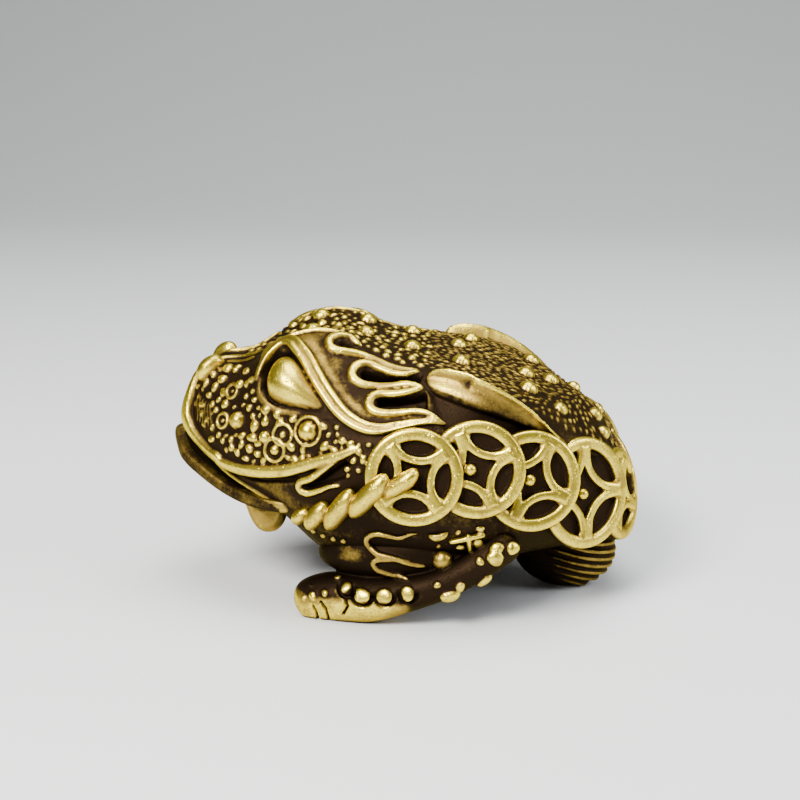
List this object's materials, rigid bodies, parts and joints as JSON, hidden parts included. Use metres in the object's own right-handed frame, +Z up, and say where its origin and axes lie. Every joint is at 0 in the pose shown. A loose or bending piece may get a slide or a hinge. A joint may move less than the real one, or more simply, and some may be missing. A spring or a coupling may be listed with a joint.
{
  "type": "money toad figure",
  "caption": "Cast brass three-legged toad with a rope of openwork cash coins round its flanks and rump, standing on two front feet and a tail-like rear leg",
  "frame": {"origin": "on the ground plane under the centre of the bounding box", "axes": "+Z up, the toad faces -Y, its left side is +X"},
  "size_m": [0.0432, 0.059, 0.0334],
  "materials": {
    "antique_brass": "cast brass, dark brown patina in the hollows, worn to satin yellow on the raised carving"
  },
  "bodies": {
    "root": {"money_toad": "antique_brass"}
  },
  "joints": []
}
